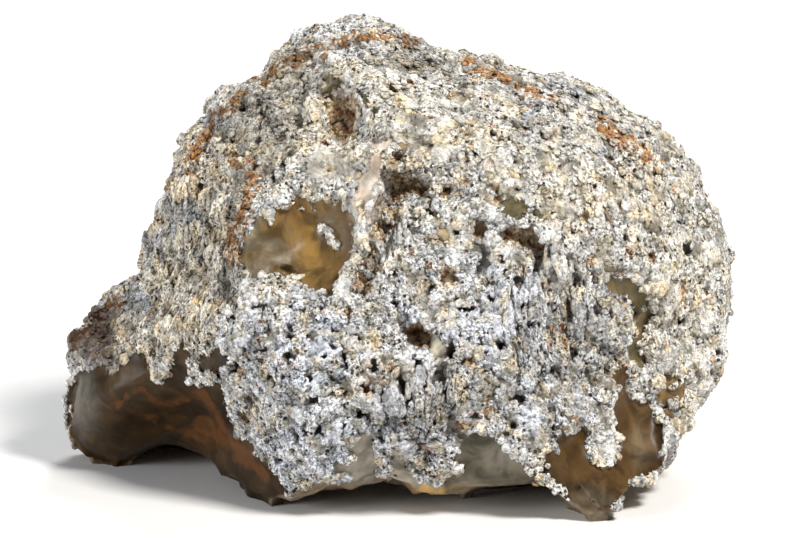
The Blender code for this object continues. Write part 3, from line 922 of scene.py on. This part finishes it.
def rindTint(points, spots, front, cavityShade, thin, pores, pitted):
    # The rind's colour, with the painted shade down its left top, before the painted shade of its crevices,
    # and in its fourth value how strongly it is speckled
    crust = np.tile(np.array(rindColours["plain"] + (0.75,)), (len(points), 1))
    drift = softNoise(points, 6.0, 3, 21)
    seen = smoothStep(-0.3, 0.1, front)
    for stain in rindTints.values():
        share = patches(spots + 14.0 * drift[:, None], stain["places"])
        share = (share * seen * stain["share"])[:, None]
        crust = blend(crust, np.array(stain["colour"] + (stain["speckle"],)), share)
    behind = (1.0 - seen) * smoothStep(-0.3, 0.5, drift)
    crust = blend(crust, np.array(rindColours["behind"] + (0.7,)), (0.7 * behind)[:, None])
    # Thin places where the chalcedony shows through
    crust = blend(crust, np.array(rindColours["thin"] + (0.2,)), (0.85 * thin)[:, None])
    fine = softNoise(points, 0.9, 2, 23)
    wide = softNoise(points, 2.4, 2, 25)
    warm = (smoothStep(0.0, 0.5, wide) * 0.65)[:, None]
    crust[:, :3] *= blend(np.array([0.98, 0.99, 1.02]), np.array([1.03, 0.94, 0.78]), warm)
    rust = np.zeros(len(points))
    for line in rustLines["lines"]:
        away = distanceToLine(spots, line) / rustLines["halfWidth"]
        rust = np.maximum(rust, 1.0 - smoothStep(0.1, 1.3, away + 0.5 * fine + 0.6 * wide))
    rust = smoothStep(0.12, 0.50, rust * seen * smoothStep(-0.5, 0.4, fine))
    specks = smoothStep(0.40, 0.60, fine) * smoothStep(-0.1, 0.5, softNoise(points, 7.0, 2, 24))
    rust = np.maximum(rust, 0.8 * specks)[:, None]
    crust[:, :3] *= blend(1.0, np.array(rustLines["stain"]), rust)
    brown = (0.8 * smoothStep(0.05, 0.6, pores) * smoothStep(-0.4, 0.3, wide))[:, None]
    crust[:, :3] = blend(crust[:, :3], np.array(rindColours["poreBrown"]), brown)
    stained = patches(spots, rustSpots["places"])
    stained *= seen * smoothStep(0.05, 0.6, cavityShade + 0.5 * fine)
    stained = np.maximum(stained, pitted * seen)
    rusty = smoothStep(-0.05, 0.30, fine + 0.25 * softNoise(points, 0.5, 1, 29))
    deepRust = blend(np.array(rustSpots["ochre"]), np.array(rustSpots["colour"]), rusty[:, None])
    crust[:, :3] = blend(crust[:, :3], deepRust, (0.9 * stained)[:, None])
    crust[:, 3] *= 0.55 + 1.1 * smoothStep(-0.35, 0.35, softNoise(points, 3.0, 2, 26))
    crust[:, :3] *= blend(1.0, 0.80, smoothStep(0.05, 0.5, softNoise(points, 2.6, 3, 27)))[:, None]
    return np.clip(crust, 0.0, 1.0)


grains = {
    "pieces": 3,
    "perPiece": 7000,
    "frontSpacing": 0.50,  # millimetres
    "backSpacing": 0.85,
    "radius": (0.18, 0.56),
    "sunk": 0.38,  # of its height
    "softPlaces": [(570, 150, 160, 120), (430, 95, 140, 80), (690, 260, 80, 130), (480, 180, 80, 50)],
    "softHeight": 0.42,  # of the others' height
    "tan": (0.97, 0.86, 0.68),
    "grey": (0.60, 0.61, 0.62),
    "patches": 1.5,  # millimetres across those of one colour
    "jagged": 0.26,
    "edge": -0.10,  # how near a broken face's edge they come
    "lowest": -0.17,  # how deep in the folds they grow
    "smoothPatches": 0.42,
}


def spreadOut(points, spacing, dice):
    # The numbers of points that lie about this far from each other
    cells = np.floor(points / spacing + 1000.0).astype(np.int64)
    keys = (cells[:, 0] * 8192 + cells[:, 1]) * 8192 + cells[:, 2]
    away = ((points / spacing - np.floor(points / spacing) - 0.5) ** 2).sum(1)
    away = away + 0.3 * dice.random(len(points))
    order = np.lexsort((away, keys))
    first = np.unique(keys[order], return_index=True)[1]
    return order[first]


def makeGrains(skin):
    # Sugary grains grown over the rind: low domes of seven-sided rings, half sunk in it
    dice = np.random.default_rng(grains["pieces"])
    keep = skin["allowed"] & (softNoise(skin["points"], 2.4, 2, 40) < grains["smoothPatches"])
    ahead = keep & (skin["front"] > -0.2)
    near = np.flatnonzero(ahead)
    far = np.flatnonzero(keep & ~ahead)
    chosen = near[spreadOut(skin["points"][near], grains["frontSpacing"], dice)]
    behind = far[spreadOut(skin["points"][far], grains["backSpacing"], dice)]
    print("grains", len(chosen), "in front and", len(behind), "behind")
    chosen = np.concatenate([dice.permutation(chosen), dice.permutation(behind)])
    room = grains["pieces"] * grains["perPiece"]
    if len(chosen) > room:
        chosen = chosen[:room]
    chosen = dice.permutation(chosen)
    for number, part in enumerate(np.array_split(chosen, grains["pieces"])):
        makeGrainPiece("rindGrains" + str(number + 1), skin, part, dice)


def makeGrainPiece(name, skin, part, dice):
    count = len(part)
    sides = 7
    centre, normal = skin["points"][part], skin["normals"][part]
    low, high = grains["radius"]
    radius = low + (high - low) * dice.random(count) ** 3
    radius = np.where(skin["front"][part] > -0.2, radius, radius * 1.6)
    across = dice.normal(size=(count, 3)) * (1.0 - 0.8 * skin["along"][part])[:, None]
    across[:, 2] += 1.5 * skin["along"][part]
    across -= normal * (across * normal).sum(1)[:, None]
    across /= np.linalg.norm(across, axis=1)[:, None] + 1e-9
    side = np.cross(normal, across)
    longer = radius * (1.05 + 0.6 * dice.random(count) + 0.9 * skin["along"][part])
    shorter = radius * (0.75 + 0.3 * dice.random(count) - 0.15 * skin["along"][part])
    tall = radius * (0.55 + 0.4 * dice.random(count)) * blend(1.0, grains["softHeight"], skin["soft"][part])

    # One dome: its top, two rings and its foot
    turn = np.arange(sides) / sides * 2.0 * math.pi
    lift = np.concatenate([[1.0], np.full(sides, 0.70), np.full(sides, -0.05), [-1.5]])
    out = np.concatenate([[0.0], np.full(sides, 0.70), np.full(sides, 1.0), [0.0]])
    angle = np.concatenate([[0.0], turn, turn + math.pi / sides, [0.0]])
    jag = 1.0 + grains["jagged"] * (2.0 * dice.random((count, len(lift))) - 1.0)
    corners = centre[:, None] - (normal * (grains["sunk"] * tall)[:, None])[:, None]
    corners = corners + across[:, None] * (out * np.cos(angle) * jag * longer[:, None])[:, :, None]
    corners = corners + side[:, None] * (out * np.sin(angle) * jag * shorter[:, None])[:, :, None]
    corners = corners + normal[:, None] * (lift * jag * tall[:, None])[:, :, None]
    corners[:, :, 2] = np.maximum(corners[:, :, 2], 0.02)

    ring = np.arange(sides)
    after = (ring + 1) % sides
    top = np.column_stack([np.zeros(sides, int), 1 + ring, 1 + after])
    wide = 1 + sides  # the lower ring's first corner
    upper = np.column_stack([1 + ring, wide + ring, 1 + after])
    lower = np.column_stack([1 + after, wide + ring, wide + after])
    foot = np.column_stack([np.full(sides, wide + sides), wide + after, wide + ring])
    one = np.vstack([top, upper, lower, foot])
    faces = (one[None] + (np.arange(count) * len(lift))[:, None, None]).reshape(-1, 3)

    mesh = bpy.data.meshes.new(name)
    mesh.from_pydata((corners.reshape(-1, 3) * 0.001).tolist(), [], faces.tolist())
    mesh.shade_smooth()

    # A flat map of each grain in a square of its own, for the baked picture
    reach = np.select([out == 0.0, out < 0.9], [0.0, 0.17], 0.32)
    spot = np.column_stack([np.cos(angle), np.sin(angle)]) * reach[:, None]
    flat = spot[one]
    middle = turn + 2.0 * math.pi / sides
    flat[-sides:, 0] = 0.46 * np.column_stack([np.cos(middle), np.sin(middle)])
    rows = math.ceil(math.sqrt(count))
    place = np.column_stack([np.arange(count) % rows, np.arange(count) // rows]) + 0.5
    layer = mesh.uv_layers.new(name="OFBake")
    spread = (place[:, None, None] + flat[None]) / rows
    layer.data.foreach_set("uv", spread.astype(np.float32).ravel())

    crust = skin["crust"][part].copy()
    for channel, colour in ((42, grains["tan"]), (43, grains["grey"])):
        drift = softNoise(centre, grains["patches"], 2, channel) + 0.35 * dice.random(count)
        crust[:, :3] *= blend(1.0, np.array(colour), smoothStep(0.25, 0.60, drift)[:, None])
    crust = np.repeat(np.clip(crust, 0.0, 1.0), len(lift), axis=0)
    # Each grain's brightness: random, with the painted highlight and shade of the rind beneath
    grainToneAndLight = np.clip(0.45 + 0.3 * skin["toneAndPaintedLight"][part] + 0.35 * dice.random(count), 0.0, 1.0)
    grainToneAndLight = np.repeat(grainToneAndLight, len(lift))
    # Painted shade: each grain darker down its sides and foot, where the grains meet
    gap = np.tile(np.select([lift > 0.6, lift > -0.2], [0.0, 0.55], 1.1), count)
    flatMarks = np.column_stack([np.full(len(gap), -2.0), gap, grainToneAndLight, np.full(len(gap), 6.0)])
    writeColours(mesh, "marks", flatMarks)
    writeColours(mesh, "crustTint", crust)
    inPits = np.repeat(skin["pitted"][part], len(lift))
    writeColours(mesh, "glassTint", np.column_stack([np.tile((0.2, 0.15, 0.1), (len(gap), 1)), inPits]))
    mesh.materials.append(bpy.data.materials["agateStone"])
    piece = bpy.data.objects.new(name, mesh)
    bpy.context.scene.collection.objects.link(piece)
    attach(piece, "root")
    print(name, "made of", count, "grains and", len(faces), "triangles")


def writeColours(mesh, name, values):
    layer = mesh.attributes.new(name, "FLOAT_COLOR", "POINT")
    layer.data.foreach_set("color", values.astype(np.float32).ravel())


def thinned(piece):
    # Fewer faces, most of them kept on the front and on the rind
    fewer = piece.modifiers.new("fewerFaces", "DECIMATE")
    count = len(piece.data.polygons) * 2
    fewer.ratio = nodule["triangles"] / count
    fewer.vertex_group = "fewerFaces"
    fewer.vertex_group_factor = nodule["keepPull"]
    fewer.use_collapse_triangulate = True
    applyModifiers(piece)
    print("thinned from", count, "to", len(piece.data.polygons), "triangles")


def addNode(tree, kind, inputs=None, **settings):
    node = tree.nodes.new(kind)
    for name, value in settings.items():
        setattr(node, name, value)
    for name, value in (inputs or {}).items():
        socket = node.inputs[name]
        if isinstance(value, bpy.types.NodeSocket):
            tree.links.new(value, socket)
        else:
            socket.default_value = value
    return node


def mixColours(tree, share, first, second, how="MIX"):
    node = addNode(tree, "ShaderNodeMix", data_type="RGBA", blend_type=how)
    for socket, value in ((node.inputs[0], share), (node.inputs[6], first), (node.inputs[7], second)):
        if isinstance(value, bpy.types.NodeSocket):
            tree.links.new(value, socket)
        else:
            socket.default_value = value
    return node.outputs[2]


def stretch(tree, value, low, high, toLow=0.0, toHigh=1.0):
    inputs = {0: value, 1: low, 2: high, 3: toLow, 4: toHigh}
    node = addNode(tree, "ShaderNodeMapRange", inputs, interpolation_type="SMOOTHSTEP")
    return node.outputs[0]


def calculate(tree, how, first, second=0.0):
    return addNode(tree, "ShaderNodeMath", {0: first, 1: second}, operation=how).outputs[0]


stoneFinish = {
    "speckPerMetre": 3400.0,
    "grainPerMetre": 1900.0,
    "crumbPerMetre": 1200.0,
    "pinholesPerMetre": 1900.0,
    "rustPitsPerMetre": 520.0,
    "swaysPerMetre": 1500.0,
    "sway": 0.0014,  # metres
    "cloudsPerMetre": 320.0,
    "bump": 0.00060,  # metres
    "glow": 0.0010,  # metres that light goes into the chalcedony
    # painted shade put into the rind's crevices
    "creviceShade": (0.085, 0.066, 0.050, 1.0),
    # painted shade put into pinholes and the holes inside the pits
    "pinholeShade": (0.035, 0.024, 0.016, 1.0),
    "rustPit": (0.13, 0.040, 0.012, 1.0),
    "ochre": (0.72, 0.57, 0.37, 1.0),
    "band": (0.115, 0.042, 0.011, 1.0),
    "paleBand": (0.48, 0.42, 0.33, 1.0),
}


def stoneMaterial():
    material = bpy.data.materials.new("agateStone")
    material.use_nodes = True
    tree = material.node_tree
    shader = tree.nodes["Principled BSDF"]
    where = addNode(tree, "ShaderNodeTexCoord").outputs["Object"]
    marks = addNode(tree, "ShaderNodeAttribute", attribute_name="marks")
    parts = addNode(tree, "ShaderNodeSeparateColor", {0: marks.outputs["Color"]})
    exposed, cavityShade, toneAndPaintedLight = parts.outputs
    veins = marks.outputs["Alpha"]
    glassNode = addNode(tree, "ShaderNodeAttribute", attribute_name="glassTint")
    glass, pitted = glassNode.outputs["Color"], glassNode.outputs["Alpha"]
    crustNode = addNode(tree, "ShaderNodeAttribute", attribute_name="crustTint")
    crust, speckled = crustNode.outputs["Color"], crustNode.outputs["Alpha"]

    speckSettings = {"Vector": where, "Scale": stoneFinish["speckPerMetre"], "Detail": 2.0, "Roughness": 0.6}
    speck = addNode(tree, "ShaderNodeTexNoise", speckSettings).outputs["Fac"]
    crumbSettings = {
        "Vector": where, "Scale": stoneFinish["crumbPerMetre"], "Detail": 4.0, "Roughness": 0.65,
    }
    crumb = addNode(tree, "ShaderNodeTexNoise", crumbSettings).outputs["Fac"]
    grain = addNode(tree, "ShaderNodeTexVoronoi", {"Vector": where, "Scale": stoneFinish["grainPerMetre"]})
    pinholeShade = scatteredHoles(tree, where, stoneFinish["pinholesPerMetre"], 0.35, 0.40, 0.03)
    inputs = {"Vector": where, "Scale": stoneFinish["swaysPerMetre"], "Detail": 2.0}
    swayed = addNode(tree, "ShaderNodeTexNoise", inputs).outputs["Color"]
    inputs = {0: swayed, "Scale": stoneFinish["sway"]}
    sway = addNode(tree, "ShaderNodeVectorMath", inputs, operation="SCALE").outputs[0]
    bent = addNode(tree, "ShaderNodeVectorMath", {0: where, 1: sway}).outputs[0]
    rustPit = scatteredHoles(tree, bent, stoneFinish["rustPitsPerMetre"], 0.55, 0.16, 0.02)

    # The rind: speckled, with painted highlight on its raised tops and painted shade in its crevices and
    # pinholes
    rindColour = mixColours(tree, 1.0, crust, stretch(tree, toneAndPaintedLight, 0.1, 0.8, 0.70, 1.10), "MULTIPLY")
    speckles = mixColours(tree, 1.0, rindColour, stretch(tree, speck, 0.40, 0.56, 0.34, 1.10), "MULTIPLY")
    rindColour = mixColours(tree, speckled, rindColour, speckles)
    rindColour = mixColours(tree, 1.0, rindColour, stretch(tree, crumb, 0.36, 0.56, 0.68, 1.08), "MULTIPLY")
    # Painted shade in the crevices, broken up by the crumbs
    ragged = calculate(tree, "ADD", cavityShade, stretch(tree, crumb, 0.30, 0.70, 0.30, -0.30))
    deep = stretch(tree, ragged, 0.42, 1.15, 0.0, 0.88)
    rindColour = mixColours(tree, deep, rindColour, stoneFinish["creviceShade"])
    # Painted shade in pinholes too small to carve
    shadedPinholes = calculate(tree, "MULTIPLY", pinholeShade, stretch(tree, speckled, 0.1, 0.9, 0.35, 0.97))
    rindColour = mixColours(tree, shadedPinholes, rindColour, stoneFinish["pinholeShade"])
    ring = scatteredHoles(tree, bent, stoneFinish["rustPitsPerMetre"], 0.55, 0.24, 0.08)
    rindColour = mixColours(tree, calculate(tree, "MULTIPLY", ring, 0.45), rindColour, stoneFinish["ochre"])
    rustShare = calculate(tree, "MULTIPLY", rustPit, 0.92)
    rindColour = mixColours(tree, rustShare, rindColour, stoneFinish["rustPit"])
    # Insides of the large pits: ochre crumbs with rusty holes between them, and holes darkened with painted
    # shade
    warmed = mixColours(tree, 0.15, crust, stoneFinish["ochre"])
    inside = mixColours(tree, stretch(tree, crumb, 0.37, 0.45), stoneFinish["pinholeShade"], warmed)
    inside = mixColours(tree, stretch(tree, speck, 0.38, 0.46, 0.80, 0.0), inside, stoneFinish["rustPit"])
    pitEdge = calculate(tree, "ADD", pitted, stretch(tree, crumb, 0.3, 0.7, -0.25, 0.25))
    rindColour = mixColours(tree, stretch(tree, pitEdge, 0.35, 0.60, 0.0, 0.85), rindColour, inside)

    # The chalcedony: cloudy, with its red bands
    cloudSettings = {
        "Vector": where, "Scale": stoneFinish["cloudsPerMetre"],
        "Detail": 5.0, "Roughness": 0.6, "Distortion": 0.6,
    }
    cloud = addNode(tree, "ShaderNodeTexNoise", cloudSettings).outputs["Fac"]
    cloudy = mixColours(tree, 1.0, glass, stretch(tree, cloud, 0.34, 0.66, 0.52, 1.48), "MULTIPLY")
    redLine = calculate(tree, "ADD", veins, stretch(tree, crumb, 0.3, 0.7, -0.08, 0.08))
    redLine = stretch(tree, redLine, 0.42, 0.12, 0.0, 0.75)
    glassColour = mixColours(tree, redLine, cloudy, stoneFinish["band"])
    # Bands of the broken underside, one inside the other
    ringNode = addNode(tree, "ShaderNodeAttribute", attribute_name="rings")
    inwards = addNode(tree, "ShaderNodeSeparateColor", {0: ringNode.outputs["Color"]}).outputs[0]
    turns = calculate(tree, "MULTIPLY", inwards, 2.0 * math.pi / underside["bandSpacing"])
    wave = calculate(tree, "SINE", calculate(tree, "ADD", turns, stretch(tree, cloud, 0.3, 0.7, -1.0, 1.0)))
    within = stretch(tree, inwards, 0.6, 2.4)
    ringShare = calculate(tree, "MULTIPLY", within, stretch(tree, wave, 0.1, 0.9, 0.0, 0.55))
    glassColour = mixColours(tree, ringShare, glassColour, stoneFinish["band"])
    paleShare = calculate(tree, "MULTIPLY", within, stretch(tree, wave, -0.3, -0.9, 0.0, 0.40))
    glassColour = mixColours(tree, paleShare, glassColour, stoneFinish["paleBand"])

    edge = calculate(tree, "ADD", exposed, stretch(tree, crumb, 0.3, 0.7, -0.22, 0.22))
    broken = stretch(tree, edge, -0.06, 0.06)
    tree.links.new(mixColours(tree, broken, rindColour, glassColour), shader.inputs["Base Color"])
    tree.links.new(stretch(tree, broken, 0.0, 1.0, 0.60, 0.38), shader.inputs["Roughness"])
    tree.links.new(stretch(tree, broken, 0.0, 1.0, 0.02, 0.30), shader.inputs["Subsurface Weight"])
    tree.links.new(stretch(tree, broken, 0.0, 1.0, 0.30, 0.13), shader.inputs["Specular IOR Level"])
    shader.inputs["Subsurface Radius"].default_value = (1.0, 0.55, 0.25)
    shader.inputs["Subsurface Scale"].default_value = stoneFinish["glow"]
    shader.inputs["IOR"].default_value = 1.54

    fineRelief = calculate(tree, "SUBTRACT", calculate(tree, "MULTIPLY", speck, 0.5), shadedPinholes)
    grainRelief = calculate(tree, "MULTIPLY", grain.outputs["Distance"], -0.5)
    rindRelief = calculate(tree, "ADD", calculate(tree, "ADD", fineRelief, grainRelief), crumb)
    rindRelief = calculate(tree, "SUBTRACT", rindRelief, calculate(tree, "MULTIPLY", rustPit, 1.2))
    glassRelief = calculate(tree, "MULTIPLY", cloud, 0.10)
    inputs = {0: broken, 2: rindRelief, 3: glassRelief}
    relief = addNode(tree, "ShaderNodeMix", inputs, data_type="FLOAT").outputs[0]
    inputs = {"Height": relief, "Strength": 1.0, "Distance": stoneFinish["bump"]}
    bump = addNode(tree, "ShaderNodeBump", inputs)
    tree.links.new(bump.outputs["Normal"], shader.inputs["Normal"])
    return material


def scatteredHoles(tree, where, perMetre, rarest, widest, edge):
    # 1 in round spots of all widths, 0 between them
    spots = addNode(tree, "ShaderNodeTexVoronoi", {"Vector": where, "Scale": perMetre})
    pick = addNode(tree, "ShaderNodeSeparateColor", {0: spots.outputs["Color"]}).outputs[0]
    reach = stretch(tree, pick, rarest, 1.0, -edge, widest)
    return stretch(tree, calculate(tree, "SUBTRACT", reach, spots.outputs["Distance"]), -edge / 2, edge / 2)


def makeNodule():
    piece = remeshed(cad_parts["agate_nodule"])
    skin = sculpt(piece)
    thinned(piece)
    mesh = piece.data
    mesh.transform(Matrix.Scale(0.001, 4))
    mesh.shade_smooth()
    mesh.materials.append(stoneMaterial())
    piece.name = "agateNodule"
    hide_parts("agate_nodule")
    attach(piece, "root")
    print("nodule made")
    makeGrains(skin)


studio = {
    "floorHalf": 3.0,  # metres
    "floorColour": (0.80, 0.79, 0.77, 1.0),
    "air": (0.93, 0.95, 1.0, 1.0),
    "airStrength": 0.16,
}

lights = {
    "key": {"place": (0.28, -0.30, 0.48), "size": 0.14, "power": 5.2, "colour": (1.0, 0.98, 0.95)},
    "rim": {"place": (0.10, 0.38, 0.40), "size": 0.20, "power": 2.0, "colour": (0.95, 0.97, 1.0)},
    "fill": {"place": (-0.52, -0.28, 0.14), "size": 0.22, "power": 2.5, "colour": (0.92, 0.95, 1.0)},
}


def makeStudio():
    half = studio["floorHalf"]
    mesh = bpy.data.meshes.new("floor")
    corners = [(-half, -half, 0.0), (half, -half, 0.0), (half, half, 0.0), (-half, half, 0.0)]
    mesh.from_pydata(corners, [], [(0, 1, 2, 3)])
    floor = bpy.data.objects.new("floor", mesh)
    bpy.context.scene.collection.objects.link(floor)
    material = bpy.data.materials.new("palePaper")
    material.use_nodes = True
    shader = material.node_tree.nodes["Principled BSDF"]
    shader.inputs["Base Color"].default_value = studio["floorColour"]
    shader.inputs["Roughness"].default_value = 0.9
    mesh.materials.append(material)

    world = bpy.data.worlds.new("studioAir")
    bpy.context.scene.world = world
    world.use_nodes = True
    air = world.node_tree.nodes["Background"]
    air.inputs["Color"].default_value = studio["air"]
    air.inputs["Strength"].default_value = studio["airStrength"]
    for name, light in lights.items():
        lamp = bpy.data.lights.new(name, "AREA")
        lamp.size = light["size"]
        lamp.energy = light["power"]
        lamp.color = light["colour"]
        holder = bpy.data.objects.new(name, lamp)
        bpy.context.scene.collection.objects.link(holder)
        holder.location = light["place"]
        aim = -holder.location
        aim.z += photo["middleHeight"] / 1000
        holder.rotation_euler = aim.to_track_quat("-Z", "Y").to_euler()
    bpy.context.scene.view_settings.view_transform = "Standard"
    print("studio made")


def makeCamera():
    lens = bpy.data.cameras.new("camera")
    camera = bpy.data.objects.new("camera", lens)
    bpy.context.scene.collection.objects.link(camera)
    reach, tilt = photo["distance"] / 1000, math.radians(photo["tilt"])
    camera.location = (0.0, -reach * math.cos(tilt), photo["middleHeight"] / 1000 + reach * math.sin(tilt))
    camera.rotation_euler = (math.radians(90 - photo["tilt"]), 0.0, 0.0)
    lens.sensor_width = 36.0
    span = photo["width"] * photo["pixel"]
    lens.lens = lens.sensor_width * photo["distance"] / span
    lens.shift_y = (photo["middle"][1] - photo["height"] / 2) / photo["width"]
    lens.clip_start = 0.01
    bpy.context.scene.camera = camera


makeCamera()
makeStudio()
makeNodule()
